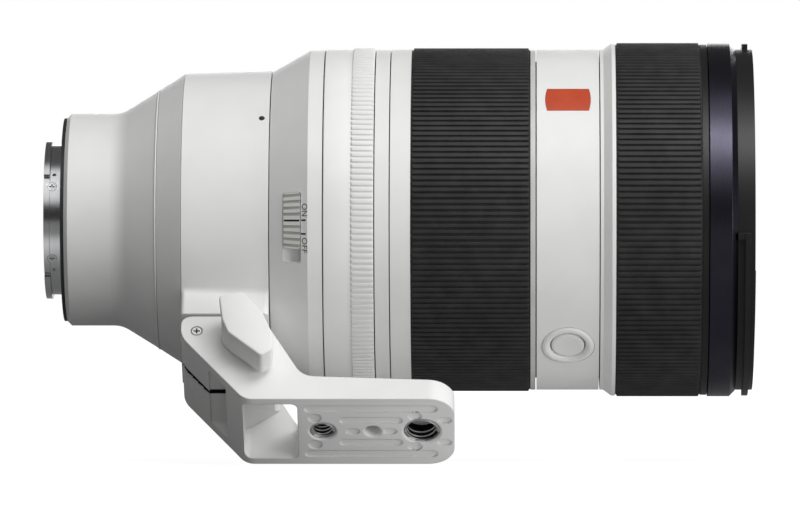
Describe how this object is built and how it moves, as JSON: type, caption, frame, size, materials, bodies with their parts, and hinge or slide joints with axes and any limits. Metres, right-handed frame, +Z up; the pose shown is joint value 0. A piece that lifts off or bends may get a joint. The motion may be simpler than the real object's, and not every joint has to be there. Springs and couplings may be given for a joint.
{
  "type": "camera lens",
  "caption": "Large white internal-zoom telephoto camera lens with ribbed zoom and focus grips, a rotating tripod collar and a removable clamped foot with a lever.",
  "frame": {"origin": "centre of the bayonet's flange face", "axes": "+X along the optical axis towards the front lens, +Z up, so the small slide switch faces -Y"},
  "size_m": [0.2053, 0.1153, 0.1214],
  "materials": {
    "white_paint": "fine satin white enamel over magnesium",
    "mount_chrome": "machined and chrome plated brass",
    "black_rubber": "moulded ribbed grip rubber",
    "black_plastic": "matt black moulding",
    "black_metal": "black anodised",
    "violet_black": "glossy violet black anodising",
    "silver_ring": "bright turned ring",
    "bare_metal": "turned and left plain",
    "inner_plastic": "glass filled moulding",
    "gold": "gold plated contact",
    "steel": "plain steel",
    "optical_glass": "coated lens glass",
    "orange_inlay": "orange lacquer",
    "white_plastic": "white button moulding",
    "circuit_board": "green solder mask"
  },
  "bodies": {
    "barrel": {"bayonet_mount": "mount_chrome", "mount_gasket": "black_rubber", "mount_screws": "steel", "rear_baffle": "black_plastic", "contact_block": "black_plastic", "contact_pins": "gold", "rear_barrel": "white_paint", "shoulder_cone": "white_paint", "main_board": "circuit_board", "rear_lens_cell": "black_metal", "rear_lenses": "optical_glass", "bearing_sleeve": "bare_metal", "switch_barrel": "white_paint", "spacer_ring": "white_paint", "guide_tube": "bare_metal", "main_tube": "inner_plastic", "front_band": "white_paint", "button_bezels": "white_plastic", "band_inlay": "orange_inlay", "accent_ring": "violet_black", "hood_bayonet_ring": "black_metal", "front_trim_ring": "black_plastic", "front_cell": "inner_plastic", "front_lenses": "optical_glass", "iris_housing": "inner_plastic", "iris_blades": "black_metal", "focus_frame": "inner_plastic", "focus_motors": "steel"},
    "collar": {"tripod_collar": "white_paint"},
    "collar_knob": {"collar_lock_knob": "black_plastic", "collar_lock_screw": "steel"},
    "foot": {"foot": "white_paint", "quarter_inch_insert": "steel", "three_eighths_insert": "steel", "foot_stop_screw": "steel"},
    "lever": {"foot_lever": "white_paint", "foot_clamp_screw": "steel"},
    "click_slider": {"click_switch": "silver_ring"},
    "iris_lock_slider": {"iris_lock_switch": "silver_ring"},
    "focus_mode_slider": {"focus_mode_switch": "silver_ring"},
    "focus_range_slider": {"focus_range_switch": "silver_ring"},
    "aperture_ring": {"aperture_ring": "white_paint"},
    "zoom_ring": {"zoom_ring": "white_paint", "zoom_grip": "black_rubber", "zoom_trim_ring": "silver_ring", "zoom_drive_key": "steel", "cam_barrel": "inner_plastic"},
    "variator": {"variator_carrier": "inner_plastic", "variator_lens": "optical_glass"},
    "compensator": {"compensator_carrier": "inner_plastic", "compensator_lens": "optical_glass"},
    "focus_ring": {"focus_ring": "white_paint", "focus_grip": "black_rubber", "focus_trim_ring": "black_metal"},
    "focus_group": {"focus_carrier": "inner_plastic", "focus_lens": "optical_glass"},
    "iris_drive": {"iris_drive_ring": "inner_plastic"},
    "button_1": {"focus_hold_button_1": "white_plastic"},
    "button_2": {"focus_hold_button_2": "white_plastic"},
    "button_3": {"focus_hold_button_3": "white_plastic"}
  },
  "joints": [
    {"name": "collar_turn", "type": "hinge", "parent": "barrel", "child": "collar", "pos_m": [0, 0, 0], "axis": [1, 0, 0], "continuous": true},
    {"name": "collar_knob_turn", "type": "hinge", "parent": "collar", "child": "collar_knob", "pos_m": [0.04785, 0, 0], "axis": [0, 0.766, -0.6428], "range_deg": [0, 270]},
    {"name": "foot_slide", "type": "slide", "parent": "collar", "child": "foot", "axis": [1, 0, 0], "range_m": [0, 0.011]},
    {"name": "foot_lever_turn", "type": "hinge", "parent": "foot", "child": "lever", "pos_m": [0.0525, -0.03664, -0.04367], "axis": [0, 0.766, -0.6428], "range_deg": [0, 70]},
    {"name": "click_slide", "type": "hinge", "parent": "barrel", "child": "click_slider", "pos_m": [0, 0, 0], "axis": [1, 0, 0], "range_deg": [0, 4.9]},
    {"name": "iris_lock_slide", "type": "hinge", "parent": "barrel", "child": "iris_lock_slider", "pos_m": [0, 0, 0], "axis": [1, 0, 0], "range_deg": [0, 4.9]},
    {"name": "focus_mode_slide", "type": "hinge", "parent": "barrel", "child": "focus_mode_slider", "pos_m": [0, 0, 0], "axis": [1, 0, 0], "range_deg": [0, 4.9]},
    {"name": "focus_range_slide", "type": "hinge", "parent": "barrel", "child": "focus_range_slider", "pos_m": [0, 0, 0], "axis": [1, 0, 0], "range_deg": [0, 4.9]},
    {"name": "aperture_turn", "type": "hinge", "parent": "barrel", "child": "aperture_ring", "pos_m": [0, 0, 0], "axis": [1, 0, 0], "range_deg": [0, 70]},
    {"name": "zoom_turn", "type": "hinge", "parent": "barrel", "child": "zoom_ring", "pos_m": [0, 0, 0], "axis": [1, 0, 0], "range_deg": [0, 85]},
    {"name": "variator_travel", "type": "slide", "parent": "barrel", "child": "variator", "axis": [1, 0, 0], "range_m": [0, 0.011]},
    {"name": "compensator_travel", "type": "slide", "parent": "barrel", "child": "compensator", "axis": [1, 0, 0], "range_m": [-0.012, 0]},
    {"name": "focus_turn", "type": "hinge", "parent": "barrel", "child": "focus_ring", "pos_m": [0, 0, 0], "axis": [1, 0, 0], "continuous": true},
    {"name": "focus_group_travel", "type": "slide", "parent": "barrel", "child": "focus_group", "axis": [1, 0, 0], "range_m": [0, 0.012]},
    {"name": "iris_drive_turn", "type": "hinge", "parent": "barrel", "child": "iris_drive", "pos_m": [0, 0, 0], "axis": [1, 0, 0], "range_deg": [0, 60]},
    {"name": "button_1_press", "type": "slide", "parent": "barrel", "child": "button_1", "axis": [0, 0.6756, 0.7373], "range_m": [0, 0.0006], "stiffness_N_per_m": 800},
    {"name": "button_2_press", "type": "slide", "parent": "barrel", "child": "button_2", "axis": [0, -0.6756, -0.7373], "range_m": [0, 0.0006], "stiffness_N_per_m": 800},
    {"name": "button_3_press", "type": "slide", "parent": "barrel", "child": "button_3", "axis": [0, -0.7373, 0.6756], "range_m": [0, 0.0006], "stiffness_N_per_m": 800}
  ],
  "couplings": [
    {"joint": "variator_travel", "follows": "zoom_turn", "m_per_rad": 0.007414},
    {"joint": "compensator_travel", "follows": "zoom_turn", "m_per_rad": -0.008088}
  ]
}
